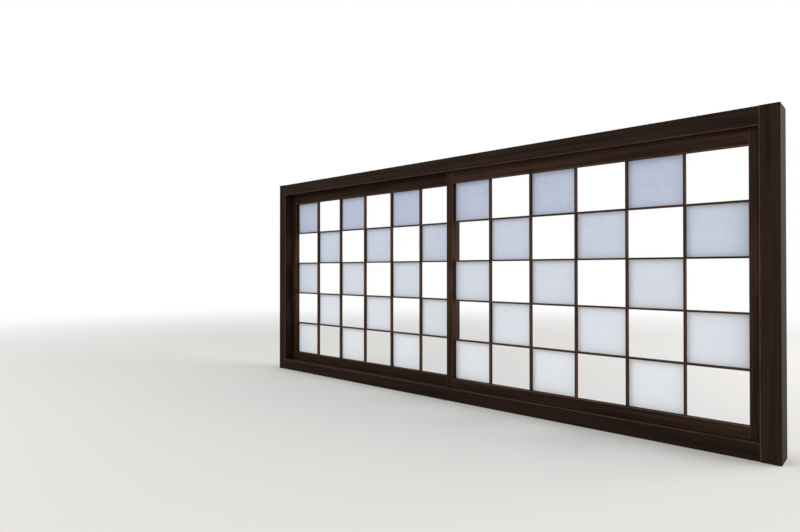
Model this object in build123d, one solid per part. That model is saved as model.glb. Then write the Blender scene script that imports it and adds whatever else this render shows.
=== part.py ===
from build123d import *
import os

# A two-sash sliding shoji window in its timber frame, with papers in every second cell.
# All sizes are in millimetres. +X runs to the right seen from the room, the room is at -Y
# and +Z is up. The origin is the middle of the underside of the frame.

# Lattice of each sash
columns = 6
rows = 5
column_pitch = 153.0
row_pitch = 146.0
bar_face = 5.5
bar_depth = 14.0
bar_arris = 0.4
bar_tenon_length = 9.0
bar_tenon_face = 3.5
bar_tenon_depth = 8.0

# Stiles and rails of each sash
stile_face = 28.0
sash_depth = 24.0
tongue_shoulder = 2.0
top_rail_face = 39.0
bottom_rail_face = 33.0
rail_setback = 1.0
rail_tenon_thickness = 8.0
rail_tenon_shoulder = 6.0
sash_arris = 0.8
meeting_overlap = 20.0

# Papers and the shallow rebate that they are pasted into
paper_thickness = 0.3
paper_lap_on_frame = 5.0
paper_gap_on_bar = 0.5
paper_rebate_depth = 2.5
paper_rebate_width = 6.0

# Two running tracks, the same in head and sill
ridge_width = 12.0
lip_width = 16.0
head_groove_depth = 15.0
sill_groove_depth = 3.0
groove_arris = 0.6

# Running fits of the sashes
tongue_side_clearance = 0.5
head_tongue_height = 10.0
head_shoulder_gap = 4.0
sill_shoulder_gap = 1.0
sill_running_clearance = 0.3
closing_clearance = 0.4

# Head, sill and jambs
head_height = 50.0
sill_height = 47.0
jamb_face = 45.0
jamb_proud = 1.5
jamb_rebate_depth = 5.0
jamb_rebate_clearance = 1.0
frame_tenon_length = 26.0
frame_tenon_thickness = 30.0
frame_tenon_shoulder = 8.0
frame_arris = 1.5

# Sizes of one sash
cells_width = columns * column_pitch - bar_face
cells_height = rows * row_pitch - bar_face
sash_width = cells_width + 2 * stile_face
tongue_thickness = sash_depth - 2 * tongue_shoulder
groove_width = tongue_thickness + 2 * tongue_side_clearance

# Depths measured from the middle plane of a sash, the back being the outdoor side
sash_front = -sash_depth / 2
sash_back = sash_depth / 2
rail_front = sash_front + rail_setback
bar_back = sash_back - paper_rebate_depth
bar_front = bar_back - bar_depth
bar_middle = (bar_front + bar_back) / 2

# Heights from the underside of the sill
sill_top = sill_height
sill_groove_floor = sill_top - sill_groove_depth
sash_foot = sill_groove_floor + sill_running_clearance
lower_shoulder = sill_top + sill_shoulder_gap
cells_bottom = lower_shoulder + bottom_rail_face
cells_top = cells_bottom + cells_height
upper_shoulder = cells_top + top_rail_face
head_underside = upper_shoulder + head_shoulder_gap
head_groove_roof = head_underside + head_groove_depth
sash_crest = head_underside + head_tongue_height
head_top = head_underside + head_height

# Tracks and the clear opening. Closed, one meeting stile lies behind the other.
track_pitch = groove_width + ridge_width
front_track = -track_pitch / 2
rear_track = track_pitch / 2
member_depth = 2 * lip_width + groove_width + track_pitch
jamb_depth = member_depth + 2 * jamb_proud
seated = jamb_rebate_depth - closing_clearance
clear_width = 2 * sash_width - meeting_overlap - 2 * seated
rear_sash_left = -clear_width / 2 - seated
front_sash_left = clear_width / 2 + seated - sash_width


def rectangle_between(low, high):
    """A flat rectangle given by two opposite corners of its plane."""
    outline = Rectangle(high[0] - low[0], high[1] - low[1], align=(Align.MIN, Align.MIN))
    return Pos(low[0], low[1]) * outline


def block(low, high):
    """A plain block given by two opposite corners: a mortise, a notch or a tenon."""
    base = rectangle_between(low[:2], high[:2])
    return extrude(Pos(0, 0, low[2]) * base, amount=high[2] - low[2])


def run_along_x(section, start, end):
    """Run a section drawn in Y and Z along X."""
    return extrude(Plane.YZ.offset(start) * section, amount=end - start)


def near(value, places):
    """Whether a coordinate is one of the given places."""
    return any(abs(value - place) < 0.01 for place in places)


def long_edges(shape, axis, y_places, z_places=None):
    """The edges that run along an axis at the given depths and, if named, heights."""
    return [
        edge
        for edge in shape.edges().filter_by(axis)
        if near(edge.center().Y, y_places)
        and (z_places is None or near(edge.center().Z, z_places))
    ]


def groove_sides():
    """The depths of the four walls of the two running grooves."""
    return [
        track + side * groove_width / 2 for track in (front_track, rear_track) for side in (-1, 1)
    ]


def grooved_rail(low, high, groove_low, groove_high, tenon_low, tenon_high):
    """A head or sill: a grooved section run between the jambs, with a tenon at each end."""
    half_depth = member_depth / 2
    section = rectangle_between((-half_depth, low), (half_depth, high))
    for track in (front_track, rear_track):
        groove_start = (track - groove_width / 2, groove_low)
        groove_end = (track + groove_width / 2, groove_high)
        section -= rectangle_between(groove_start, groove_end)
    rail = run_along_x(section, -clear_width / 2, clear_width / 2)
    rail = chamfer(long_edges(rail, Axis.X, (-half_depth, half_depth)), frame_arris)
    mouth = low if groove_low == low else high
    rail = chamfer(long_edges(rail, Axis.X, groove_sides(), (mouth,)), groove_arris)
    reach = clear_width / 2 + frame_tenon_length
    half_tenon = frame_tenon_thickness / 2
    rail += block((-reach, -half_tenon, tenon_low), (-clear_width / 2, half_tenon, tenon_high))
    rail += block((clear_width / 2, -half_tenon, tenon_low), (reach, half_tenon, tenon_high))
    return rail


def frame_head():
    """The head, with two deep grooves in its underside."""
    return grooved_rail(
        head_underside,
        head_top,
        head_underside,
        head_groove_roof,
        head_groove_roof + frame_tenon_shoulder,
        head_top - frame_tenon_shoulder,
    )


def frame_sill():
    """The sill, with two shallow grooves in its top."""
    return grooved_rail(
        0,
        sill_top,
        sill_groove_floor,
        sill_top,
        frame_tenon_shoulder,
        sill_groove_floor - frame_tenon_shoulder,
    )


def frame_jamb(side, seat_track):
    """A jamb for the left (-1) or right (1) side, rebated for the sash that closes on it."""
    inner = side * clear_width / 2
    outer = inner + side * jamb_face
    half_depth = jamb_depth / 2
    section = rectangle_between(
        (min(inner, outer), -half_depth), (max(inner, outer), half_depth)
    )
    jamb = extrude(section, amount=head_top)
    jamb = chamfer(long_edges(jamb, Axis.Z, (-half_depth, half_depth)), frame_arris)

    tenon_end = inner + side * frame_tenon_length
    mortise_x = (min(inner, tenon_end), max(inner, tenon_end))
    half_tenon = frame_tenon_thickness / 2
    sill_mortise = (frame_tenon_shoulder, sill_groove_floor - frame_tenon_shoulder)
    head_mortise = (head_groove_roof + frame_tenon_shoulder, head_top - frame_tenon_shoulder)
    for low, high in (sill_mortise, head_mortise):
        jamb -= block((mortise_x[0], -half_tenon, low), (mortise_x[1], half_tenon, high))

    rebate_end = inner + side * jamb_rebate_depth
    rebate_x = (min(inner, rebate_end), max(inner, rebate_end))
    half_rebate = sash_depth / 2 + jamb_rebate_clearance
    jamb -= block(
        (rebate_x[0], seat_track - half_rebate, sill_groove_floor),
        (rebate_x[1], seat_track + half_rebate, head_groove_roof),
    )
    return jamb


def column_line(index):
    """X of the middle of an upright bar, from the left edge of its sash."""
    return stile_face - bar_face / 2 + index * column_pitch


def row_line(index):
    """Z of the middle of a cross bar, counted down from the top rail."""
    return cells_top + bar_face / 2 - index * row_pitch


def upright_lies_in_front(column, row):
    """The bars pass over and under each other in turn, like a weave."""
    return (column + row) % 2 == 0


def rail_tenon_heights():
    """Lower and upper faces of the tenons of the bottom rail and of the top rail."""
    bottom = (lower_shoulder + rail_tenon_shoulder, cells_bottom - rail_tenon_shoulder)
    top = (cells_top + rail_tenon_shoulder, upper_shoulder - rail_tenon_shoulder)
    return bottom, top


def sash_stile(side):
    """A stile, from its own outer edge inwards: side is 1 on the left and -1 on the right."""
    profile = rectangle_between((sash_front, lower_shoulder), (sash_back, upper_shoulder))
    tongue = rectangle_between(
        (-tongue_thickness / 2, sash_foot), (tongue_thickness / 2, sash_crest)
    )
    outer = 0 if side > 0 else sash_width
    inner = outer + side * stile_face
    left, right = min(outer, inner), max(outer, inner)
    stile = run_along_x(profile + tongue, left, right)
    stile = chamfer(long_edges(stile, Axis.Z, (sash_front, sash_back)), sash_arris)

    half_tenon = rail_tenon_thickness / 2
    for low, high in rail_tenon_heights():
        stile -= block((left, -half_tenon, low), (right, half_tenon, high))

    mortise_end = inner - side * bar_tenon_length
    mortise_x = (min(inner, mortise_end), max(inner, mortise_end))
    for row in range(1, rows):
        middle = row_line(row)
        stile -= block(
            (mortise_x[0], bar_middle - bar_tenon_depth / 2, middle - bar_tenon_face / 2),
            (mortise_x[1], bar_middle + bar_tenon_depth / 2, middle + bar_tenon_face / 2),
        )

    rebate_edge = inner - side * paper_rebate_width
    rebate_x = (min(inner, rebate_edge), max(inner, rebate_edge))
    stile -= block(
        (rebate_x[0], bar_back, cells_bottom - paper_rebate_width),
        (rebate_x[1], sash_back, cells_top + paper_rebate_width),
    )
    return stile


def sash_rail(profile, inner_edge, outward, tenon_heights):
    """A rail from its side profile, with through tenons, bar mortises and a paper rebate."""
    left, right = stile_face, sash_width - stile_face
    rail = run_along_x(profile, left, right)
    rail = chamfer(long_edges(rail, Axis.X, (rail_front,), (inner_edge,)), sash_arris)

    half_tenon = rail_tenon_thickness / 2
    low, high = tenon_heights
    rail += block((0, -half_tenon, low), (left, half_tenon, high))
    rail += block((right, -half_tenon, low), (sash_width, half_tenon, high))

    mortise_end = inner_edge + outward * bar_tenon_length
    mortise_z = (min(inner_edge, mortise_end), max(inner_edge, mortise_end))
    for column in range(1, columns):
        middle = column_line(column)
        rail -= block(
            (middle - bar_tenon_face / 2, bar_middle - bar_tenon_depth / 2, mortise_z[0]),
            (middle + bar_tenon_face / 2, bar_middle + bar_tenon_depth / 2, mortise_z[1]),
        )

    rebate_edge = inner_edge + outward * paper_rebate_width
    rebate_z = (min(inner_edge, rebate_edge), max(inner_edge, rebate_edge))
    rail -= block((left, bar_back, rebate_z[0]), (right, sash_back, rebate_z[1]))
    return rail


def sash_top_rail():
    """The top rail, whose tongue runs in the head."""
    profile = rectangle_between((rail_front, cells_top), (sash_back, upper_shoulder))
    profile += rectangle_between(
        (-tongue_thickness / 2, cells_top), (tongue_thickness / 2, sash_crest)
    )
    return sash_rail(profile, cells_top, 1, rail_tenon_heights()[1])


def sash_bottom_rail():
    """The bottom rail, whose tongue runs in the sill."""
    profile = rectangle_between((rail_front, lower_shoulder), (sash_back, cells_bottom))
    profile += rectangle_between(
        (-tongue_thickness / 2, sash_foot), (tongue_thickness / 2, cells_bottom)
    )
    return sash_rail(profile, cells_bottom, -1, rail_tenon_heights()[0])


def upright_bar(column):
    """An upright bar: a notched side profile as thick as the bar's face."""
    middle = column_line(column)
    profile = rectangle_between((bar_front, cells_bottom), (bar_back, cells_top))
    profile += rectangle_between(
        (bar_middle - bar_tenon_depth / 2, cells_bottom - bar_tenon_length),
        (bar_middle + bar_tenon_depth / 2, cells_top + bar_tenon_length),
    )
    for row in range(1, rows):
        in_front = upright_lies_in_front(column, row)
        notch = (bar_middle, bar_back) if in_front else (bar_front, bar_middle)
        profile -= rectangle_between(
            (notch[0], row_line(row) - bar_face / 2), (notch[1], row_line(row) + bar_face / 2)
        )
    bar = run_along_x(profile, middle - bar_face / 2, middle + bar_face / 2)
    bar = chamfer(long_edges(bar, Axis.Z, (bar_front,)), bar_arris)
    cheek = (bar_face - bar_tenon_face) / 2
    for low, high in (
        (cells_bottom - bar_tenon_length, cells_bottom),
        (cells_top, cells_top + bar_tenon_length),
    ):
        for left in (middle - bar_face / 2, middle + bar_tenon_face / 2):
            bar -= block((left, bar_front, low), (left + cheek, bar_back, high))
    return bar


def cross_bar(row):
    """A cross bar: a notched plan profile as tall as the bar's face."""
    middle = row_line(row)
    left, right = stile_face, sash_width - stile_face
    profile = rectangle_between((left, bar_front), (right, bar_back))
    profile += rectangle_between(
        (left - bar_tenon_length, bar_middle - bar_tenon_depth / 2),
        (right + bar_tenon_length, bar_middle + bar_tenon_depth / 2),
    )
    for column in range(1, columns):
        in_front = not upright_lies_in_front(column, row)
        notch = (bar_middle, bar_back) if in_front else (bar_front, bar_middle)
        profile -= rectangle_between(
            (column_line(column) - bar_face / 2, notch[0]),
            (column_line(column) + bar_face / 2, notch[1]),
        )
    bar = extrude(Pos(0, 0, middle - bar_face / 2) * profile, amount=bar_face)
    bar = chamfer(long_edges(bar, Axis.X, (bar_front,)), bar_arris)
    cheek = (bar_face - bar_tenon_face) / 2
    for start, end in ((left - bar_tenon_length, left), (right, right + bar_tenon_length)):
        for low in (middle - bar_face / 2, middle + bar_tenon_face / 2):
            bar -= block((start, bar_front, low), (end, bar_back, low + cheek))
    return bar


def holds_paper(column, row):
    """Papers fill every second cell, starting with the top left one."""
    return (column + row) % 2 == 0


def paper_edge(line, outward, on_frame):
    """Where a paper ends: on the rebate of the frame, or just short of the middle of a bar."""
    if on_frame:
        return line + outward * (paper_lap_on_frame - bar_face / 2)
    return line - outward * paper_gap_on_bar / 2


def paper_square(column, row):
    """One paper, pasted to the backs of the wood round its cell."""
    left = paper_edge(column_line(column - 1), -1, column == 1)
    right = paper_edge(column_line(column), 1, column == columns)
    top = paper_edge(row_line(row - 1), 1, row == 1)
    bottom = paper_edge(row_line(row), -1, row == rows)
    return block((left, bar_back, bottom), (right, bar_back + paper_thickness, top))


def sash_pieces():
    """Every piece of one sash by name, placed from its left edge and its middle plane."""
    pieces = {
        "stile_left": sash_stile(1),
        "stile_right": sash_stile(-1),
        "top_rail": sash_top_rail(),
        "bottom_rail": sash_bottom_rail(),
    }
    for column in range(1, columns):
        pieces[f"upright_bar_{column}"] = upright_bar(column)
    for row in range(1, rows):
        pieces[f"cross_bar_{row}"] = cross_bar(row)
    for row in range(1, rows + 1):
        for column in range(1, columns + 1):
            if holds_paper(column, row):
                pieces[f"paper_row{row}_column{column}"] = paper_square(column, row)
    return pieces


def window_pieces():
    """The frame and both sashes, closed."""
    pieces = {
        "frame_head": frame_head(),
        "frame_sill": frame_sill(),
        "frame_jamb_left": frame_jamb(-1, rear_track),
        "frame_jamb_right": frame_jamb(1, front_track),
    }
    sash = sash_pieces()
    places = {
        "front_sash": Pos(front_sash_left, front_track, 0),
        "rear_sash": Pos(rear_sash_left, rear_track, 0),
    }
    for sash_name, place in places.items():
        for piece_name, piece in sash.items():
            pieces[f"{sash_name}_{piece_name}"] = place * piece
    return pieces


def write_pieces():
    """Write one STEP file for each piece."""
    os.makedirs("parts", exist_ok=True)
    for name, piece in window_pieces().items():
        export_step(piece, f"parts/{name}.step")


write_pieces()
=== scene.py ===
"""Finishes, paper sheets, light and camera for the shoji sliding screen, around its CAD model.

Its timbers only get materials, and a modelled sheet stands for each flat paper square.
"""

import logging
import math
from dataclasses import dataclass
from enum import Enum
from random import Random
from typing import Any, Callable, Iterator, Optional, Sequence, Union

import bmesh
import bpy
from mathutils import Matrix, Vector


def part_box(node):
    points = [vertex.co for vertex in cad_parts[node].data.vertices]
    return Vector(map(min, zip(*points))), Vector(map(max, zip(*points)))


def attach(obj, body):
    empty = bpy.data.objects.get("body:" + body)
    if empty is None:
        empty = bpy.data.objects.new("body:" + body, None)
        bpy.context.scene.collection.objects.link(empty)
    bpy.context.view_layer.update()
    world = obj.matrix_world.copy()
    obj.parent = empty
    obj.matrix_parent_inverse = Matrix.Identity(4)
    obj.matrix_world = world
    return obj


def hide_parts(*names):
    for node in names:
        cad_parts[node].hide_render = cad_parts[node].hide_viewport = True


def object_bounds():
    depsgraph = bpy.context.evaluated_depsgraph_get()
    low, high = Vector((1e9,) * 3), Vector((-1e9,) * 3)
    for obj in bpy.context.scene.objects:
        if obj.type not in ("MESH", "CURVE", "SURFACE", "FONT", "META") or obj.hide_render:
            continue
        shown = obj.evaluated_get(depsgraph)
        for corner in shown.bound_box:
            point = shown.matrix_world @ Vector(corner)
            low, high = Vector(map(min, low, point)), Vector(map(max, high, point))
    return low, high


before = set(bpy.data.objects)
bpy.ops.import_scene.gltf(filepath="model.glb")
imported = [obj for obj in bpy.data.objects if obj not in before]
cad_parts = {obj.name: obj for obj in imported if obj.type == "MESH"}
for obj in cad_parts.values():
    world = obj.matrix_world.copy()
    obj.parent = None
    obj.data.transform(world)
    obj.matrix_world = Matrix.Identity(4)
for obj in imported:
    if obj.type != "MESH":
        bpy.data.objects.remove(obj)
cad_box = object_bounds()

log = logging.getLogger("shoji_screen")

Colour = tuple[float, float, float, float]
Triple = tuple[float, float, float]
Span = tuple[float, float]

Object = bpy.types.Object
Material = bpy.types.Material
Socket = bpy.types.NodeSocket
Owner = Union[Material, bpy.types.World]

WHITE: Colour = (1.0, 1.0, 1.0, 1.0)
MILLIMETRE = 0.001  # A millimetre, in metres.
SLACK = 0.0001  # How far off a line a point may lie and still be on it, in metres.


def linear(share: float) -> float:
    """Undoes the screen's curve for one channel, from 0 to 1."""
    return share / 12.92 if share <= 0.04045 else ((share + 0.055) / 1.055) ** 2.4


def paint(red: int, green: int, blue: int) -> Colour:
    """Turns a screen colour, 0 to 255 a channel, into the linear colour that a shader takes."""
    return (linear(red / 255), linear(green / 255), linear(blue / 255), 1.0)


def shaded(colour: Colour, share: float) -> Colour:
    """Gives a colour with its three channels scaled by share."""
    return (colour[0] * share, colour[1] * share, colour[2] * share, colour[3])


def between(first: Colour, second: Colour, share: float) -> Colour:
    """Gives the colour that lies this share of the way from the first to the second."""
    red, green, blue, alpha = (a + (b - a) * share for a, b in zip(first, second))
    return (red, green, blue, alpha)


class Value:
    """A number that varies over a surface, held as the float output of a shader node."""

    def __init__(self, shader: "Shader", socket: Socket) -> None:
        """Wraps one float output of a node in the given shader."""
        self.shader = shader
        self.socket = socket

    def _math(self, kind: str, *numbers: "Number") -> "Value":
        """Gives the output of a new Math node of this kind on these numbers."""
        made = self.shader.node("ShaderNodeMath", {"operation": kind}, dict(enumerate(numbers)))
        return Value(self.shader, made.outputs[0])

    def __add__(self, other: "Number") -> "Value":
        """self + other."""
        return self._math("ADD", self, other)

    def __radd__(self, other: float) -> "Value":
        """other + self."""
        return self._math("ADD", other, self)

    def __sub__(self, other: "Number") -> "Value":
        """self - other."""
        return self._math("SUBTRACT", self, other)

    def __rsub__(self, other: float) -> "Value":
        """other - self."""
        return self._math("SUBTRACT", other, self)

    def __mul__(self, other: "Number") -> "Value":
        """self * other."""
        return self._math("MULTIPLY", self, other)

    def __rmul__(self, other: float) -> "Value":
        """other * self."""
        return self._math("MULTIPLY", other, self)

    def __truediv__(self, other: "Number") -> "Value":
        """self / other."""
        return self._math("DIVIDE", self, other)

    def __rtruediv__(self, other: float) -> "Value":
        """other / self."""
        return self._math("DIVIDE", other, self)

    def __abs__(self) -> "Value":
        """The size of the number, without its sign."""
        return self._math("ABSOLUTE", self)

    def root(self) -> "Value":
        """The square root."""
        return self._math("SQRT", self)

    def sine(self) -> "Value":
        """The sine."""
        return self._math("SINE", self)

    def cosine(self) -> "Value":
        """The cosine."""
        return self._math("COSINE", self)

    def fraction(self) -> "Value":
        """What is left above the next whole number below."""
        return self._math("FRACT", self)

    def least(self, other: "Number") -> "Value":
        """The smaller of the two."""
        return self._math("MINIMUM", self, other)

    def most(self, other: "Number") -> "Value":
        """The larger of the two."""
        return self._math("MAXIMUM", self, other)

    def rise(self, start: float, end: float) -> "Value":
        """Climbs smoothly from 0 to 1.

        Args:
            start: Where the climb starts; it may be the larger of the two.
            end: Where the climb ends.

        Returns:
            0 before start, 1 past end, and a smooth step between.
        """
        foot = 0.0 if start < end else 1.0
        made = self.shader.node(
            "ShaderNodeMapRange",
            {"interpolation_type": "SMOOTHSTEP"},
            {
                "Value": self,
                "From Min": min(start, end),
                "From Max": max(start, end),
                "To Min": foot,
                "To Max": 1.0 - foot,
            },
        )
        return Value(self.shader, made.outputs["Result"])

    def through(self, stops: Sequence[tuple[float, float]]) -> "Value":
        """Reads the number off a curve.

        Args:
            stops: Pairs of a place from 0 to 1 and the level there.

        Returns:
            The level at the number's place.
        """
        grey = [(place, (level, level, level, 1.0)) for place, level in stops]
        made = self.shader.node("ShaderNodeValToRGB", {"stops": grey}, {"Fac": self})
        return Value(self.shader, made.outputs["Color"])


Number = Union[Value, float]
Tint = Union[Socket, Colour]


@dataclass(frozen=True)
class Patches:
    """Soft noise in cells that may be drawn out one way, and how much of it shows.

    Attributes:
        length, width: The size of a cell along the grain and across it, in millimetres.
        detail: How many finer layers the noise has.
        shows: The levels at which a patch starts to show and is full.
    """

    length: float
    width: float
    detail: float = 1.0
    shows: Span = (0.0, 1.0)

    def cell(self, run: int) -> Triple:
        """The size of a cell along x, y and z, in metres, where the grain is along axis run."""
        x, y, z = (self.length if axis == run else self.width for axis in range(3))
        return (x * MILLIMETRE, y * MILLIMETRE, z * MILLIMETRE)


@dataclass(frozen=True)
class Scatter:
    """Single curved fibres over a sheet, one to a cell.

    Attributes:
        cell, width: The size of a cell and the width of a fibre, in millimetres.
        seed: What makes this scatter differ from the others.
        bow, slant: How far the most curved fibre bends, and the steepest one leans.
        reach: How much farther the longest fibre reaches than the shortest, in cells.
        tips: Where the shortest fibre ends and where it starts to fade, in cells.
        soft: The soft part of its sides, as a share of half its width.
    """

    cell: float
    width: float
    seed: float
    bow: float = 3.2
    slant: float = 0.3
    reach: float = 0.26
    tips: Span = (0.24, 0.14)
    soft: float = 0.5


@dataclass(frozen=True)
class Mark:
    """How strongly one pattern marks a surface.

    Attributes:
        tint: How much of its tone it lays over the colour, 0 to 1.
        rough: What it adds to the roughness.
        height: How high it stands, in millimetres.
    """

    tint: float = 0.0
    rough: float = 0.0
    height: float = 0.0


class Shader:
    """The node tree of one material or world, and the few ways in which nodes are added to it."""

    def __init__(self, owner: Owner) -> None:
        """Empties the node tree.

        Args:
            owner: The material or world that it belongs to.
        """
        owner.use_nodes = True
        self.owner = owner
        self.tree = owner.node_tree
        self.tree.nodes.clear()

    @classmethod
    def named(cls, name: str) -> "Shader":
        """Makes a new material under this name."""
        return cls(bpy.data.materials.new(name))

    def node(
        self,
        kind: str,
        settings: Optional[dict[str, Any]] = None,
        sockets: Optional[dict[Union[str, int], Any]] = None,
    ) -> bpy.types.Node:
        """Adds one node of any type.

        Args:
            kind: The node's Blender type.
            settings: Its properties, set before its sockets; "stops" fills a colour ramp.
            sockets: Values or links for its input sockets, by name or number.

        Returns:
            The new node.
        """
        made = self.tree.nodes.new(kind)
        for key, setting in (settings or {}).items():
            if key == "stops":
                self._fill(made.color_ramp, setting)
            else:
                setattr(made, key, setting)
        for key, source in (sockets or {}).items():
            source = source.socket if isinstance(source, Value) else source
            if isinstance(source, Socket):
                self.tree.links.new(source, made.inputs[key])
            else:
                made.inputs[key].default_value = source
        return made

    @staticmethod
    def _fill(ramp: bpy.types.ColorRamp, stops: Sequence[tuple[float, Colour]]) -> None:
        """Gives a colour ramp exactly these stops.

        Args:
            ramp: The ramp.
            stops: Pairs of a place from 0 to 1 and the colour there.
        """
        while len(ramp.elements) > 1:
            ramp.elements.remove(ramp.elements[-1])
        for number, (place, colour) in enumerate(stops):
            stop = ramp.elements[0] if number == 0 else ramp.elements.new(place)
            stop.position = place
            stop.color = colour

    def place(self) -> Socket:
        """The point's place on the piece, in metres."""
        return self.node("ShaderNodeTexCoord").outputs["Object"]

    def parts(self, vector: Socket, share: float = 1.0) -> tuple[Value, Value, Value]:
        """Splits a vector.

        Args:
            vector: The vector's socket.
            share: What each part is multiplied by.

        Returns:
            Its x, y and z.
        """
        split = self.node("ShaderNodeSeparateXYZ", None, {0: vector})
        x, y, z = (Value(self, split.outputs[i]) for i in range(3))
        return (x, y, z) if share == 1.0 else (x * share, y * share, z * share)

    def noise(
        self, place: Socket, patches: Patches, run: int = 0, shift: Triple = (0.0, 0.0, 0.0)
    ) -> Value:
        """Adds soft noise.

        Args:
            place: The place that it follows, in metres.
            patches: Its cells and its detail.
            run: The axis that its cells are drawn out along.
            shift: How far the pattern is moved, in metres.

        Returns:
            The noise, 0 to 1 and mostly near a half.
        """
        laid = self.node(
            "ShaderNodeMapping",
            {"vector_type": "TEXTURE"},
            {"Vector": place, "Location": shift, "Scale": patches.cell(run)},
        )
        sockets = {"Vector": laid.outputs[0], "Scale": 1.0, "Detail": patches.detail}
        return Value(self, self.node("ShaderNodeTexNoise", None, sockets).outputs["Fac"])

    def wander(self, along: Value) -> Value:
        """Gives soft noise that follows one number alone."""
        settings, sockets = {"noise_dimensions": "1D"}, {"W": along, "Scale": 1.0, "Detail": 0.0}
        return Value(self, self.node("ShaderNodeTexNoise", settings, sockets).outputs["Fac"])

    def strands(self, place: Socket, scatter: Scatter) -> Value:
        """Strews single curved fibres over an upright sheet.

        Args:
            place: The place on the sheet, in metres.
            scatter: The fibres.

        Returns:
            1 on a fibre and 0 beside it.
        """
        x, _, z = self.parts(place, 1.0 / (scatter.cell * MILLIMETRE))
        sockets = {"X": x + scatter.seed, "Y": z - scatter.seed}
        flat = self.node("ShaderNodeCombineXYZ", None, sockets).outputs[0]
        settings, sockets = {"voronoi_dimensions": "2D"}, {"Vector": flat, "Scale": 1.0}
        nearest = self.node("ShaderNodeTexVoronoi", settings, sockets)
        settings, sockets = {"operation": "SUBTRACT"}, {0: flat, 1: nearest.outputs["Position"]}
        offset = self.node("ShaderNodeVectorMath", settings, sockets)
        off_x, off_z, _ = self.parts(offset.outputs[0])
        turn, bow, reach = self.parts(nearest.outputs["Color"])
        angle = turn * (2.0 * math.pi)
        cosine, sine = angle.cosine(), angle.sine()
        along = off_x * cosine + off_z * sine
        aside = off_z * cosine - off_x * sine
        bend = (bow - 0.5) * (along * along) * scatter.bow
        off_line = abs(aside - bend + (reach - 0.5) * along * scatter.slant)
        short = (abs(along) - reach * scatter.reach).rise(*scatter.tips)
        half = scatter.width / scatter.cell / 2.0
        return off_line.rise(half * (1.0 + scatter.soft), half * (1.0 - scatter.soft)) * short

    def blend(self, under: Tint, over: Tint, share: Number) -> Socket:
        """Lays one colour over another, and lets this share of it show."""
        settings = {"data_type": "RGBA", "clamp_factor": True}
        return self.node("ShaderNodeMix", settings, {0: share, 6: under, 7: over}).outputs[2]

    def relief(self, height: Value, strength: float) -> Socket:
        """Turns a height in millimetres into a tilt of the surface, at this strength."""
        sockets = {"Strength": strength, "Distance": MILLIMETRE, "Height": height}
        return self.node("ShaderNodeBump", None, sockets).outputs["Normal"]

    def seen(self) -> Value:
        """Finds what the camera sees, directly or through gloss or glass.

        Returns:
            1 for the light that it sees and 0 for all other light.
        """
        path = self.node("ShaderNodeLightPath")
        direct, glossy, clear = (
            Value(self, path.outputs[f"Is {kind} Ray"])
            for kind in ("Camera", "Glossy", "Transmission")
        )
        return direct.most(glossy).most(clear)

    def mix(self, under: bpy.types.Node, over: bpy.types.Node, share: Value) -> Socket:
        """Passes from one shader, where share is 0, to another, where it is 1."""
        sockets = {0: share, 1: under.outputs[0], 2: over.outputs[0]}
        return self.node("ShaderNodeMixShader", None, sockets).outputs[0]

    def show(self, shader: Socket) -> Owner:
        """Ends the tree in this shader, and returns the material or world."""
        self.node(f"ShaderNodeOutput{type(self.owner).__name__}", None, {"Surface": shader})
        return self.owner

    def finish(self, sockets: dict[str, Any]) -> Material:
        """Ends the material in one Principled shader with these sockets, and returns it."""
        return self.show(self.node("ShaderNodeBsdfPrincipled", None, sockets).outputs[0])


class Grain(Enum):
    """The way in which a timber's grain runs, with the number of that axis."""

    LEVEL = 0
    UPRIGHT = 2


class Wear(Enum):
    """What has worn a timber, beside its arrises."""

    NONE = "none"
    HANDS = "hands"
    TRACKS = "tracks"


@dataclass(frozen=True)
class Timber:
    """One wooden piece of the CAD model.

    Attributes:
        node: The CAD node's name.
        grain: The way in which its grain runs.
        arris: The width of its taken-off edges, in millimetres.
        wear: What else has worn it.
        inner: The side whose arrises are rubbed and given a painted highlight: 1 up or right, -1
            down or left, 0 both.
    """

    node: str
    grain: Grain
    arris: float
    wear: Wear = Wear.NONE
    inner: int = 0


@dataclass(frozen=True)
class Growth:
    """How the logs that a kind of timber is cut from have grown, in millimetres.

    Attributes:
        spacing: The width of a growth ring.
        pith: The nearest and farthest that the heart lies from a piece.
        bearing: The least and greatest angle from a piece's width to its heart, in radians.
        lean: How far the heart may lean off a piece's length, as a slope.
        swell, ripple: How far slow swells and fine ripples push the rings.
        spells, drift: How many spells of good years there are to a ring, and their shift in rings.
        change, start: How often clear rings change with faint ones, and the heart's place in that.
        clear: The levels at which a ring starts to show and is clear.
        profile: How hard the wood is at places across a ring, from its start to its end.
    """

    spacing: float
    pith: Span
    bearing: Span = (0.15, 1.3)
    lean: float = 0.012
    swell: float = 9.0
    ripple: float = 0.9
    spells: float = 0.31
    drift: float = 1.6
    change: float = 0.83
    start: float = 11.7
    clear: Span = (0.25, 0.7)
    profile: tuple[Span, ...] = ((0.0, 0.0), (0.45, 0.08), (0.84, 1.0), (0.95, 0.85), (1.0, 0.0))


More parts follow.
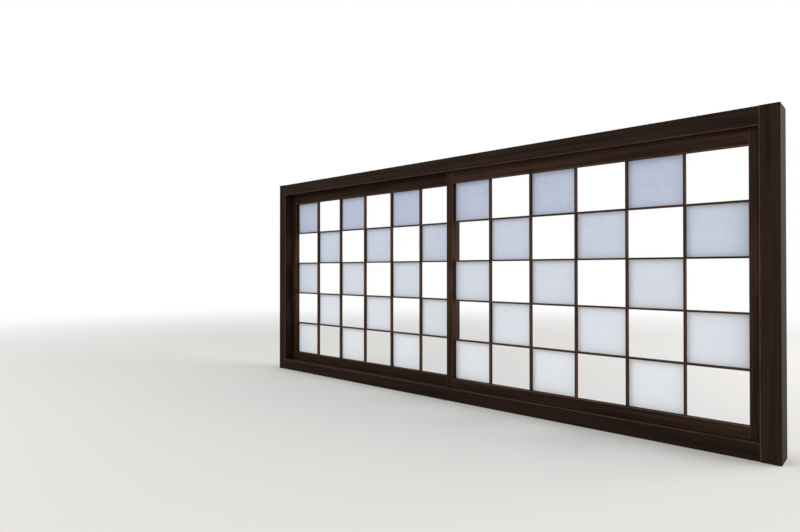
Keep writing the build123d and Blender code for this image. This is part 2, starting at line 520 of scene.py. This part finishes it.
class Board:
    """One timber's own cut of the log, and the patterns that lie on its faces, in millimetres.

    A pair of numbers says where a pattern starts and where it is full.
    """

    SWELLS = Patches(420.0, 46.0)
    RIPPLES = Patches(120.0, 9.0)
    STREAKS = Patches(340.0, 13.0, 2.0, (0.42, 0.68))
    FIBRES = Patches(16.0, 0.5, 2.0, (0.58, 0.8))
    CLOUDS = Patches(240.0, 60.0, 2.0, (0.3, 0.7))
    RUBS = Patches(60.0, 8.0, 2.0)
    PALMS = Patches(90.0, 30.0, 1.0, (0.25, 0.6))
    SCUFFS = Patches(900.0, 2.5, 2.0, (0.2, 0.65))
    SPECKS = Patches(30.0, 30.0, 3.0, (0.3, 0.75))

    MOVED = 4.0  # How far its patterns may be moved either way, in metres.
    SAWN: Span = (0.55, 0.9)  # End grain, by how squarely a face cuts the grain.
    LEVEL: Span = (0.7, 0.95)  # Dust, by how squarely a face looks up.
    RUBBED: Span = (2.4, 1.0)  # Rubbing and painted highlight, by the distance from an arris, in its widths.
    UNEVEN = 3.0  # How unevenly an arris's rubbing and painted highlight lie, in its widths.
    INNER: Span = (-3.0, 3.0)  # Rubbing and painted highlight, by the distance past the middle to the opening.
    HANDLED: Span = (230.0, 40.0)  # Marks of hands, by the distance from mid-height.
    GROOVE = 16.5  # How far each groove's middle lies from the sill's middle.
    FLOOR: Span = (10.4, 9.0)  # Scuffs, by the distance from a groove's middle.
    BELOW: Span = (2.2, 2.8)  # Scuffs, by the depth below the sill's top.

    def __init__(self, timber: Timber, name: str) -> None:
        """Measures a piece of the CAD model, and starts its material.

        Args:
            timber: The piece.
            name: The material's name.
        """
        self.timber = timber
        self.chance = Random(timber.node)
        self.luck = self.chance.uniform(-1.0, 1.0)
        self.shift: Triple = tuple(self.chance.uniform(-self.MOVED, self.MOVED) for _ in range(3))
        low, high = (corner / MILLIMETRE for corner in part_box(timber.node))
        self.middle, self.half = (low + high) / 2, (high - low) / 2
        self.run, self.side = timber.grain.value, 2 - timber.grain.value
        self.shader = Shader.named(name)
        self.place = self.shader.place()
        at = self.shader.parts(self.place, 1.0 / MILLIMETRE)
        self.along, self.across, self.depth = at[self.run], at[self.side], at[1]
        facing = self.shader.parts(self.shader.node("ShaderNodeNewGeometry").outputs["Normal"])
        self.upward = facing[2]
        self.sawn = abs(facing[self.run]).rise(*self.SAWN)

    def noise(self, patches: Patches) -> Value:
        """Makes noise that is drawn out along the grain."""
        return self.shader.noise(self.place, patches, self.run, self.shift)

    def shown(self, patches: Patches) -> Value:
        """Makes patches of such noise, with 1 in a patch and 0 beside it."""
        return self.noise(patches).rise(*patches.shows)

    def rings(self, growth: Growth, ripple: Value) -> Value:
        """Cuts the piece out of a log of its own.

        Args:
            growth: How the log has grown.
            ripple: The ripples of the rings, to either side of 0.

        Returns:
            1 in the hard late wood of a ring and 0 in its soft early wood.
        """
        swell = self.noise(self.SWELLS) - 0.5
        angle = self.chance.uniform(*growth.bearing)
        reach = self.chance.uniform(*growth.pith)
        heart = [
            self.middle[axis] + reach * share * self.chance.choice((-1, 1))
            for axis, share in ((self.side, math.cos(angle)), (1, math.sin(angle)))
        ]
        lean = self.chance.uniform(-growth.lean, growth.lean)
        aside = self.across - heart[0] + self.along * lean
        behind = self.depth - heart[1]
        radius = (aside * aside + behind * behind).root()
        years = (radius + swell * growth.swell + ripple * growth.ripple) / growth.spacing
        years = years + (self.shader.wander(years * growth.spells) - 0.5) * growth.drift
        clear = self.shader.wander(years * growth.change + growth.start).rise(*growth.clear)
        return years.fraction().through(growth.profile) * clear

    def rubbed(self) -> Value:
        """Finds the arrises that hands and cloths reach, which also carry a painted highlight.

        Returns:
            1 along these arrises, in patches, and 0 elsewhere.
        """
        arris = self.timber.arris
        off_middle = self.across - self.middle[self.side]
        inset_across = self.half[self.side] - abs(off_middle)
        inset_depth = self.half[1] - abs(self.depth - self.middle[1])
        patchy = (self.noise(self.RUBS) - 0.5) * arris * self.UNEVEN
        start, full = (widths * arris for widths in self.RUBBED)
        worn = (inset_across + inset_depth + patchy).rise(start, full)
        if not self.timber.inner:
            return worn
        return worn * (off_middle * self.timber.inner).rise(*self.INNER)

    def handled(self) -> Value:
        """Gives 1 round the middle of a stile, where hands slide the sash, and 0 elsewhere."""
        reached = abs(self.along - self.middle[self.run]).rise(*self.HANDLED)
        return reached * self.shown(self.PALMS)

    def tracked(self) -> Value:
        """Finds where the sashes scuff a sill.

        Returns:
            1 in streaks along the floors of its grooves, and 0 elsewhere.
        """
        inside = abs(abs(self.depth) - self.GROOVE).rise(*self.FLOOR)
        below_top = self.middle[self.side] + self.half[self.side] - self.across
        return inside * below_top.rise(*self.BELOW) * self.shown(self.SCUFFS)

    def dusty(self) -> Value:
        """Gives 1 on thick dust, which lies on level faces only, and 0 where there is none."""
        return self.upward.rise(*self.LEVEL) * self.shown(self.SPECKS)


@dataclass(frozen=True)
class TimberFinish:
    """A dark softwood, planed and worn, whose dark tones are partly its stain and age and partly
    painted shade.

    Attributes:
        name: The start of its materials' names.
        early, late: The soft, pale part and the hard, dark part of a ring, in linear colour.
        deep: The dark of the stain's streaks and of end grain.
        worn: The tone of rubbed arrises, which there is partly a painted highlight.
        growth: How its logs have grown.
        roughness: The roughness of the flat faces.
        spread: How much one piece may be paler or darker than the next.
        dust: The tone of dust.
        ring, streak, cloud, fibre, ripple, sawn: How the wood's own patterns and its stain show.
        rubbed, handled, tracked, dusty: How wear, dust and the arrises' painted highlight show.
        relief: How strongly the height tilts the surface, 0 to 1.
    """

    name: str
    early: Colour
    late: Colour
    deep: Colour
    worn: Colour
    growth: Growth
    roughness: float
    spread: float
    dust: Colour = paint(150, 143, 134)
    ring: Mark = Mark(tint=0.8, rough=-0.06, height=0.05)
    streak: Mark = Mark(tint=0.5)
    cloud: Mark = Mark(tint=0.15)
    fibre: Mark = Mark(tint=0.16, height=0.07)
    ripple: Mark = Mark(height=0.05)
    sawn: Mark = Mark(tint=0.65, rough=0.15)
    # Paler arrises: partly wear, partly a painted highlight along edges that catch light.
    rubbed: Mark = Mark(tint=0.7, rough=-0.08)
    handled: Mark = Mark(tint=0.22, rough=-0.096)
    tracked: Mark = Mark(tint=0.5, rough=-0.128)
    dusty: Mark = Mark(tint=0.05, rough=0.1)
    relief: float = 0.55

    def dress(self, timber: Timber) -> Material:
        """Makes the material of one piece, with its own cut of the log.

        Args:
            timber: The piece that it is for.

        Returns:
            The material.
        """
        board = Board(timber, f"{self.name}_{timber.node}")
        blend = board.shader.blend
        tone = 1.0 + self.spread * board.luck
        early, late, deep, worn = (
            shaded(colour, tone) for colour in (self.early, self.late, self.deep, self.worn)
        )

        ripple = board.noise(board.RIPPLES) - 0.5
        ring = board.rings(self.growth, ripple)
        streak, cloud = board.shown(board.STREAKS), board.shown(board.CLOUDS)
        fibre = board.noise(board.FIBRES)
        colour = blend(early, late, ring * self.ring.tint)
        colour = blend(colour, deep, streak * self.streak.tint + cloud * self.cloud.tint)
        colour = blend(colour, worn, fibre.rise(*board.FIBRES.shows) * self.fibre.tint)
        roughness = ring * self.ring.rough + self.roughness

        # Paler arrises: partly wear, partly a painted highlight.
        laid = [(board.sawn, self.sawn, deep), (board.rubbed(), self.rubbed, worn)]
        if timber.wear is Wear.HANDS:
            laid.append((board.handled(), self.handled, worn))
        if timber.wear is Wear.TRACKS:
            laid.append((board.tracked(), self.tracked, worn))
        laid.append((board.dusty(), self.dusty, self.dust))
        for pattern, mark, tint in laid:
            colour = blend(colour, tint, pattern * mark.tint)
            roughness = roughness + pattern * mark.rough

        height = ring * self.ring.height + fibre * self.fibre.height + ripple * self.ripple.height
        return board.shader.finish(
            {
                "Base Color": colour,
                "Roughness": roughness,
                "Normal": board.shader.relief(height, self.relief),
                "Specular IOR Level": 0.04,
            }
        )

    def coat(self, timbers: Sequence[Timber]) -> None:
        """Finishes pieces of the CAD model.

        Args:
            timbers: The pieces.
        """
        for timber in timbers:
            wear_one(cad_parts[timber.node], self.dress(timber))
            log.info("finished %s", timber.node)


@dataclass(frozen=True)
class LatticeLines:
    """Where the lines of a lattice run, in millimetres.

    Attributes:
        column, row: The middle of one upright bar and that of one cross bar.
        column_pitch, row_pitch: The distances from one such bar to the next.
        half_face: Half the face of a bar.
    """

    column: float
    row: float
    column_pitch: float
    row_pitch: float
    half_face: float

    def distance(self, x: Value, z: Value) -> Value:
        """How far a place on a sheet lies from the middle of the nearest bar."""
        off_column = self._off(x, self.column, self.column_pitch)
        return off_column.least(self._off(z, self.row, self.row_pitch))

    @staticmethod
    def _off(number: Value, line: float, pitch: float) -> Value:
        """How far a number lies from the nearest of evenly spaced lines."""
        return abs(((number - line) / pitch + 0.5).fraction() - 0.5) * pitch


@dataclass(frozen=True)
class PaperFinish:
    """Hand-made paper with long fibres, which lets light through.

    Attributes:
        name: The start of its materials' names.
        upper, lower: The paper's colours in the top and bottom rows, in linear colour; the top
            row's darker, greyer colour is painted shade and the bottom row's paler one painted
            light.
        fibre: The palest tone of thick pulp and of single long fibres.
        pasted: The tone where the paper is pasted over wood, partly paste and partly painted shade
            of the bar behind the paper.
        paler: How far from the paper's colour to that tone its pulp and pale fibres are.
        dimmer: The brightness of its dim fibres, as a share of the paper's; their darkness is
            painted shade, as fibres look against light from behind.
        pale_fibres, dim_fibres: The long fibres that are paler and darker than the paper.
        pulp, cloud, tooth: How thick pulp, its broad clouds and the face's fine tooth show.
        pale, dim, strand: How pale fibres, dim fibres and both together show.
        stuck: How the pasted margins show, with their paste and their painted shade.
        paste: How far beyond a bar's face paste starts and is full, in millimetres.
        uneven: How unevenly the paste lies, in millimetres.
        roughness: The roughness between the fibres.
        relief: How strongly the height tilts the surface, 0 to 1.
    """

    PULP = Patches(13.0, 13.0, 3.0, (0.35, 0.8))
    CLOUDS = Patches(70.0, 70.0, 1.0, (0.3, 0.7))
    TOOTH = Patches(0.9, 0.9)

    name: str
    upper: Colour
    lower: Colour
    fibre: Colour
    pasted: Colour
    paler: float = 0.6
    dimmer: float = 0.82
    pale_fibres: tuple[Scatter, Scatter] = (Scatter(23.0, 0.3, 0.0), Scatter(17.0, 0.22, 3.7))
    dim_fibres: tuple[Scatter, Scatter] = (Scatter(29.0, 0.34, 8.1), Scatter(12.0, 0.18, 5.3))
    pulp: Mark = Mark(tint=0.14, height=0.05)
    cloud: Mark = Mark(tint=0.08)
    pale: Mark = Mark(tint=0.42)
    dim: Mark = Mark(tint=0.4)
    strand: Mark = Mark(rough=-0.12, height=0.035)
    tooth: Mark = Mark(height=0.03)
    stuck: Mark = Mark(tint=0.5)
    paste: Span = (0.5, -0.3)
    uneven: float = 1.2
    roughness: float = 0.86
    relief: float = 0.5

    def dress(self, label: str, level: float, lines: LatticeLines) -> Material:
        """Makes the material of one row of papers.

        Args:
            label: The end of the material's name.
            level: The row's height, from 0 for the bottom row to 1 for the top row, which sets how
                much painted shade the row gets.
            lines: Where the bars run behind the paper.

        Returns:
            The material.
        """
        # Painted shade: the higher the row, the darker and greyer its paper.
        sheet = between(self.lower, self.upper, level)
        fibre = between(sheet, self.fibre, self.paler)
        s = Shader.named(f"{self.name}_{label}")
        place = s.place()
        x, _, z = s.parts(place, 1.0 / MILLIMETRE)

        pulp = s.noise(place, self.PULP)
        cloud = s.noise(place, self.CLOUDS).rise(*self.CLOUDS.shows)
        thick = pulp.rise(*self.PULP.shows) * self.pulp.tint + cloud * self.cloud.tint
        colour = s.blend(sheet, fibre, thick)

        pale, dim = (
            s.strands(place, first).most(s.strands(place, second))
            for first, second in (self.pale_fibres, self.dim_fibres)
        )
        strand = pale.most(dim)
        colour = s.blend(colour, fibre, pale * self.pale.tint)
        # Painted shade: dim fibres, darker as fibres look against light from behind.
        colour = s.blend(colour, shaded(sheet, self.dimmer), dim * self.dim.tint)

        # Pasted margins: partly paste, partly painted shade of the bar behind the thin paper.
        uneven = (pulp - 0.5) * self.uneven
        start, full = (lines.half_face + beyond for beyond in self.paste)
        stuck = (lines.distance(x, z) + uneven).rise(start, full)
        colour = s.blend(colour, self.pasted, stuck * self.stuck.tint)

        tooth = s.noise(place, self.TOOTH)
        height = pulp * self.pulp.height + strand * self.strand.height
        height = height + tooth * self.tooth.height
        return s.finish(
            {
                "Base Color": colour,
                "Roughness": strand * self.strand.rough + self.roughness,
                "Normal": s.relief(height, self.relief),
                "Specular IOR Level": 0.2,
                "Subsurface Weight": 0.3,
                "Subsurface Radius": (1.0, 1.0, 1.0),
                "Subsurface Scale": 2.0 * MILLIMETRE,
            }
        )


@dataclass(frozen=True)
class Opening:
    """The clear opening of one cell between its bars, in metres."""

    left: float
    right: float
    bottom: float
    top: float


def wear_one(obj: Object, material: Material) -> None:
    """Puts one material in every slot of an object, as its only finish.

    Args:
        obj: The object.
        material: The material.
    """
    if not obj.material_slots:
        obj.data.materials.append(material)
    for slot in obj.material_slots:
        slot.material = material


def settle(obj: Object) -> None:
    """Puts an object's place into its mesh, so that the object itself sits at the origin.

    Args:
        obj: The object.
    """
    bpy.ops.object.select_all(action="DESELECT")
    obj.select_set(True)
    bpy.context.view_layer.objects.active = obj
    bpy.ops.object.transform_apply(location=True, rotation=True, scale=True)


def pick(obj: Object, wanted: Callable[[Vector], bool]) -> None:
    """Selects the points that pass a test and the faces between them, and nothing else.

    Args:
        obj: The object, in edit mode.
        wanted: The test of a point's place.
    """
    bpy.ops.mesh.select_all(action="DESELECT")
    mesh = bmesh.from_edit_mesh(obj.data)
    for vertex in mesh.verts:
        vertex.select_set(wanted(vertex.co))
    mesh.select_flush(True)
    bmesh.update_edit_mesh(obj.data)


@dataclass
class PaperCutter:
    """Copies every paper from one pattern sheet, and fits each copy to its cell, in metres.

    Attributes:
        margin, thickness: The width of the pattern's pasted margins, and the paper's thickness.
        cuts: How finely the free part is divided.
        cockle, wave: The height and the length of the waves that it may dry in.
        held: How far from its pasted margins a paper is held flatter.
        pattern: The pattern sheet, once it is modelled.
        waves: The waves.
    """

    margin: float = 0.004
    thickness: float = 0.0003
    cuts: int = 13
    cockle: float = 0.0015
    wave: float = 0.055
    held: float = 0.03
    pattern: Optional[Object] = None
    waves: Optional[bpy.types.Texture] = None

    def build(self, opening: Opening) -> None:
        """Models the pattern, flat and upright at the origin, and makes the waves.

        Args:
            opening: The clear opening of any cell, as all are the same size.
        """
        half_width = (opening.right - opening.left) / 2
        half_height = (opening.top - opening.bottom) / 2
        bpy.ops.object.select_all(action="DESELECT")
        bpy.ops.mesh.primitive_plane_add(size=2.0, rotation=(math.pi / 2, 0.0, 0.0))
        self.pattern = bpy.context.active_object
        self.pattern.scale = (half_width + self.margin, half_height + self.margin, 1.0)
        settle(self.pattern)
        bpy.ops.object.mode_set(mode="EDIT")
        across, up = Vector((1.0, 0.0, 0.0)), Vector((0.0, 0.0, 1.0))
        for normal, half in ((across, half_width), (up, half_height)):
            for edge in (-half, half):
                bpy.ops.mesh.select_all(action="SELECT")
                bpy.ops.mesh.bisect(plane_co=normal * edge, plane_no=normal)
        wide, high = half_width + SLACK, half_height + SLACK
        pick(self.pattern, lambda point: abs(point.x) < wide and abs(point.z) < high)
        bpy.ops.mesh.subdivide(number_cuts=self.cuts)
        bpy.ops.object.mode_set(mode="OBJECT")
        self.waves = bpy.data.textures.new("paper_waves", "CLOUDS")
        self.waves.noise_scale = self.wave
        self.waves.noise_depth = 1

    def cut(self, node: str, opening: Opening) -> Object:
        """Makes one paper, pasted by its margins to the outdoor backs of the bars.

        Args:
            node: The CAD node that it stands for.
            opening: The clear opening that it covers.

        Returns:
            The finished object, at the origin.
        """
        if self.pattern is None:
            self.build(opening)
        sheet = self.pattern.copy()
        sheet.data = self.pattern.data.copy()
        bpy.context.scene.collection.objects.link(sheet)
        sheet.name = f"washi_{node}"
        sheet.data.name = sheet.name
        sheet.location = (
            (opening.left + opening.right) / 2,
            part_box(node)[0].y,
            (opening.bottom + opening.top) / 2,
        )
        settle(sheet)
        self._fit(sheet, node, opening)
        self._cockle(sheet, opening)
        self._thicken(sheet)
        return sheet

    def put_away(self) -> None:
        """Removes the pattern once every paper is cut."""
        if self.pattern is not None:
            bpy.data.meshes.remove(self.pattern.data)
            self.pattern = None

    def _fit(self, sheet: Object, node: str, opening: Opening) -> None:
        """Draws each margin out to where the CAD sheet ends.

        Args:
            sheet: The copy of the pattern, in its place.
            node: The CAD sheet.
            opening: The clear opening between the margins.
        """
        low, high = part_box(node)
        bpy.ops.object.mode_set(mode="EDIT")
        for axis, edge, end in (
            (0, opening.left, low.x),
            (0, opening.right, high.x),
            (2, opening.bottom, low.z),
            (2, opening.top, high.z),
        ):
            way = 1.0 if end > edge else -1.0
            pick(sheet, lambda point: way * (point[axis] - edge) > SLACK)
            move = [0.0, 0.0, 0.0]
            move[axis] = end - edge - way * self.margin
            bpy.ops.transform.translate(value=move)
        bpy.ops.object.mode_set(mode="OBJECT")

    def _cockle(self, sheet: Object, opening: Opening) -> None:
        """Lets the free part wave a little off flat, and less towards its pasted margins.

        Args:
            sheet: The flat sheet.
            opening: The clear opening, in which the sheet is free.
        """
        group = sheet.vertex_groups.new(name="free")
        for vertex in sheet.data.vertices:
            x, _, z = vertex.co
            inside = min(x - opening.left, opening.right - x, z - opening.bottom, opening.top - z)
            share = min(max(inside / self.held, 0.0), 1.0)
            group.add([vertex.index], share * share * (3.0 - 2.0 * share), "REPLACE")
        bend = sheet.modifiers.new("cockle", "DISPLACE")
        bend.texture = self.waves
        bend.texture_coords = "LOCAL"
        bend.direction = "Y"
        bend.vertex_group = group.name
        bend.strength = self.cockle
        bend.mid_level = 0.5
        bpy.ops.object.modifier_apply(modifier=bend.name)
        sheet.vertex_groups.clear()

    def _thicken(self, sheet: Object) -> None:
        """Gives the sheet its thickness, outdoors of the bars' backs.

        Args:
            sheet: The sheet without a thickness.
        """
        wall = sheet.modifiers.new("thickness", "SOLIDIFY")
        wall.thickness = self.thickness
        wall.offset = -1.0
        bpy.ops.object.modifier_apply(modifier=wall.name)
        bpy.ops.object.mode_set(mode="EDIT")
        bpy.ops.mesh.select_all(action="SELECT")
        bpy.ops.mesh.normals_make_consistent(inside=False)
        bpy.ops.object.mode_set(mode="OBJECT")
        bpy.ops.object.shade_smooth_by_angle(angle=math.radians(30))


@dataclass
class OuterFrame:
    """The fixed frame: a head, a sill and two jambs.

    Attributes:
        finish: The finish of its timber.
        arris: The width of its arrises, in millimetres.
    """

    finish: TimberFinish
    arris: float = 1.5

    def timbers(self) -> list[Timber]:
        """Lists the frame's pieces."""
        # The head's lower arrises and the sill's upper ones get rubbing and a painted highlight.
        return [
            Timber("frame_head", Grain.LEVEL, self.arris, inner=-1),
            Timber("frame_sill", Grain.LEVEL, self.arris, Wear.TRACKS, inner=1),
            Timber("frame_jamb_left", Grain.UPRIGHT, self.arris, inner=1),
            Timber("frame_jamb_right", Grain.UPRIGHT, self.arris, inner=-1),
        ]

    def build(self) -> None:
        """Finishes every piece of the frame."""
        self.finish.coat(self.timbers())


@dataclass
class Sash:
    """One sliding sash: stiles and rails, a woven lattice, and paper in every second cell.

    Attributes:
        name: The sash's name, which its body and nodes carry.
        member, bar, paper: The finishes of its stiles and rails, its lattice bars and its papers.
        columns, rows: How many cells lie side by side, and one above the other.
        member_arris, bar_arris: The arrises of stiles and rails and of the bars, in millimetres.
    """

    name: str
    member: TimberFinish
    bar: TimberFinish
    paper: PaperFinish
    columns: int = 6
    rows: int = 5
    member_arris: float = 0.8
    bar_arris: float = 0.4

    def members(self) -> list[Timber]:
        """Lists the stiles and rails."""
        return [
            Timber(f"{self.name}_stile_left", Grain.UPRIGHT, self.member_arris, Wear.HANDS),
            Timber(f"{self.name}_stile_right", Grain.UPRIGHT, self.member_arris, Wear.HANDS),
            Timber(f"{self.name}_top_rail", Grain.LEVEL, self.member_arris),
            Timber(f"{self.name}_bottom_rail", Grain.LEVEL, self.member_arris),
        ]

    def bars(self) -> list[Timber]:
        """Lists the lattice bars."""
        kinds = (("upright", Grain.UPRIGHT, self.columns), ("cross", Grain.LEVEL, self.rows))
        return [
            Timber(f"{self.name}_{kind}_bar_{i}", grain, self.bar_arris)
            for kind, grain, cells in kinds
            for i in range(1, cells)
        ]

    def papered(self) -> Iterator[tuple[int, int, str]]:
        """Gives the row, column and node name of each cell that has paper."""
        for row in range(1, self.rows + 1):
            for column in range(1, self.columns + 1):
                node = f"{self.name}_paper_row{row}_column{column}"
                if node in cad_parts:
                    yield row, column, node

    def opening(self, row: int, column: int) -> Opening:
        """Finds the clear opening of a cell from the pieces round it.

        Args:
            row, column: The cell's row, 1 at the top, and its column, 1 at the left.

        Returns:
            The opening.
        """
        left = f"upright_bar_{column - 1}" if column > 1 else "stile_left"
        right = f"upright_bar_{column}" if column < self.columns else "stile_right"
        above = f"cross_bar_{row - 1}" if row > 1 else "top_rail"
        below = f"cross_bar_{row}" if row < self.rows else "bottom_rail"
        return Opening(
            left=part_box(f"{self.name}_{left}")[1].x,
            right=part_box(f"{self.name}_{right}")[0].x,
            bottom=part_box(f"{self.name}_{below}")[1].z,
            top=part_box(f"{self.name}_{above}")[0].z,
        )

    def lines(self) -> LatticeLines:
        """Measures the lattice from its first two bars each way.

        Returns:
            Where its lines run.
        """

        def middle(bar: str, axis: int) -> float:
            """The middle of a bar along an axis, in millimetres."""
            low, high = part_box(f"{self.name}_{bar}")
            return (low[axis] + high[axis]) / 2 / MILLIMETRE

        low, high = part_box(f"{self.name}_upright_bar_1")
        column, row = middle("upright_bar_1", 0), middle("cross_bar_1", 2)
        return LatticeLines(
            column=column,
            row=row,
            column_pitch=middle("upright_bar_2", 0) - column,
            row_pitch=row - middle("cross_bar_2", 2),
            half_face=(high.x - low.x) / 2 / MILLIMETRE,
        )

    def build(self, cutter: PaperCutter) -> None:
        """Finishes the wood, and models and finishes the papers.

        Args:
            cutter: What cuts the papers.
        """
        self.member.coat(self.members())
        self.bar.coat(self.bars())
        lines, top = self.lines(), self.rows - 1
        # Each row's papers get painted shade by the row's height.
        finishes = {
            row: self.paper.dress(f"{self.name}_row{row}", (self.rows - row) / top, lines)
            for row in range(1, self.rows + 1)
        }
        for row, column, node in self.papered():
            sheet = cutter.cut(node, self.opening(row, column))
            wear_one(sheet, finishes[row])
            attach(sheet, self.name)
            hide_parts(node)
            log.info("built %s with %d faces", sheet.name, len(sheet.data.polygons))


@dataclass(frozen=True)
class Softbox:
    """One large soft lamp aimed at the middle of the screen.

    Attributes:
        name: The lamp's name.
        place, size: Where it stands and how long its side is, in metres.
        power: Its power, in watts.
    """

    name: str
    place: Triple
    size: float
    power: float

    def build(self, aim: Vector) -> None:
        """Makes the lamp.

        Args:
            aim: The point that it is turned to.
        """
        lamp = bpy.data.lights.new(self.name, "AREA")
        lamp.shape = "SQUARE"
        lamp.size = self.size
        lamp.energy = self.power
        holder = bpy.data.objects.new(self.name, lamp)
        bpy.context.scene.collection.objects.link(holder)
        holder.location = self.place
        holder.rotation_euler = (Vector(self.place) - aim).to_track_quat("Z", "Y").to_euler()
        holder.visible_camera = False


@dataclass(frozen=True)
class FloorFinish:
    """A pale, dull floor that fades to white far from the screen.

    Attributes:
        colour: The floor's colour, in linear colour.
        fades: Where it starts to fade and where it is white, from the middle, in metres.
    """

    colour: Colour = paint(232, 231, 228)
    fades: Span = (1.6, 5.5)

    def dress(self) -> Material:
        """Makes the floor's material.

        Returns:
            The material.
        """
        s = Shader.named("pale_floor")
        x, y, _ = s.parts(s.place())
        far = (x * x + y * y).root().rise(*self.fades)
        sockets = {"Base Color": self.colour, "Roughness": 0.9, "Specular IOR Level": 0.1}
        pale = s.node("ShaderNodeBsdfPrincipled", None, sockets)
        white = s.node("ShaderNodeEmission", None, {"Color": WHITE, "Strength": 1.0})
        return s.show(s.mix(pale, white, far * s.seen()))


@dataclass
class Studio:
    """The camera, the pale floor, the lamps and the plain surround.

    Attributes:
        eye: Where the camera stands, in metres.
        turned, raised: How far it looks left of straight on, and up, in degrees.
        focal, picture: Its focal length and its picture's width, in pixels.
        slide: How far the picture is slid sideways to hold the whole screen, in widths.
        floor: The floor's finish.
        floor_radius: The floor's radius, in metres.
        ambient: How strong the even light from all round is.
        softboxes: The lamps.
    """

    eye: Triple = (1.2147, -1.7556, 0.4835)
    turned: float = 44.13
    raised: float = 0.39
    focal: float = 560.0
    picture: float = 800.0
    slide: float = 0.05
    floor: FloorFinish = FloorFinish()
    floor_radius: float = 14.0
    ambient: float = 0.66
    softboxes: tuple[Softbox, ...] = (
        Softbox("softbox_front", place=(-1.6, -3.2, 2.4), size=2.6, power=48.0),
        Softbox("softbox_back", place=(3.5, 2.3, 1.7), size=3.0, power=120.0),
    )

    def build_camera(self) -> None:
        """Stands the camera at the photograph's viewing angle."""
        lens = bpy.data.cameras.new("viewpoint")
        lens.sensor_width = 36.0
        lens.lens = lens.sensor_width * self.focal / self.picture
        lens.shift_x = self.slide
        lens.clip_start, lens.clip_end = 0.05, 60.0
        camera = bpy.data.objects.new("viewpoint", lens)
        bpy.context.scene.collection.objects.link(camera)
        camera.location = self.eye
        camera.rotation_euler = (math.radians(90.0 + self.raised), 0.0, math.radians(self.turned))
        bpy.context.scene.camera = camera

    def build_floor(self) -> None:
        """Lays a pale floor that fades to white far from the screen."""
        bpy.ops.object.select_all(action="DESELECT")
        bpy.ops.mesh.primitive_circle_add(vertices=96, radius=self.floor_radius, fill_type="NGON")
        floor = bpy.context.active_object
        floor.name = "floor"
        wear_one(floor, self.floor.dress())

    def build_light(self) -> None:
        """Sets the lamps and an even surround that looks white behind the screen."""
        low, high = cad_box
        for softbox in self.softboxes:
            softbox.build((low + high) / 2)
        bpy.context.scene.world = bpy.data.worlds.new("surround")
        s = Shader(bpy.context.scene.world)
        lit, shown = (
            s.node("ShaderNodeBackground", None, {"Color": WHITE, "Strength": strength})
            for strength in (self.ambient, 1.0)
        )
        s.show(s.mix(lit, shown, s.seen()))
        bpy.context.scene.view_settings.view_transform = "Standard"


# The wood tones are darker than the bare wood: partly stain and age, partly painted shade of wood
# seen against bright light; the bars are a little paler, partly painted light of their lit sides,
# and the worn tones partly paint the arrises' highlight.
FRAME_TIMBER = TimberFinish(
    name="dark_frame",
    early=paint(47, 34, 27),
    late=paint(19, 13, 10),
    deep=paint(17, 12, 10),
    worn=paint(86, 64, 50),
    growth=Growth(spacing=3.4, pith=(45.0, 130.0)),
    roughness=0.66,
    spread=0.12,
)
SASH_TIMBER = TimberFinish(
    name="dark_sash",
    early=paint(59, 41, 31),
    late=paint(24, 16, 12),
    deep=paint(20, 14, 11),
    worn=paint(102, 75, 57),
    growth=Growth(spacing=2.2, pith=(60.0, 170.0)),
    roughness=0.64,
    spread=0.14,
)
BAR_TIMBER = TimberFinish(
    name="dark_bar",
    early=paint(73, 50, 37),
    late=paint(32, 21, 15),
    deep=paint(25, 17, 14),
    worn=paint(112, 86, 68),
    growth=Growth(spacing=1.4, pith=(90.0, 220.0)),
    roughness=0.64,
    spread=0.18,
)
WASHI = PaperFinish(
    name="washi",
    # Painted shade and light: the top row's paper darker and greyer, the bottom row's paler.
    upper=paint(178, 189, 214),
    lower=paint(241, 246, 254),
    fibre=paint(246, 250, 255),
    # Partly paste, partly painted shade of the bars behind the paper.
    pasted=paint(150, 147, 150),
)


def main() -> None:
    """Builds the studio, the frame and the two sashes in order."""
    logging.basicConfig(level=logging.INFO, format="%(name)s: %(message)s")
    studio = Studio()
    studio.build_camera()
    studio.build_floor()
    studio.build_light()
    OuterFrame(FRAME_TIMBER).build()
    cutter = PaperCutter()
    for name in ("front_sash", "rear_sash"):
        Sash(name, SASH_TIMBER, BAR_TIMBER, WASHI).build(cutter)
    cutter.put_away()


if __name__ == "__main__":
    main()
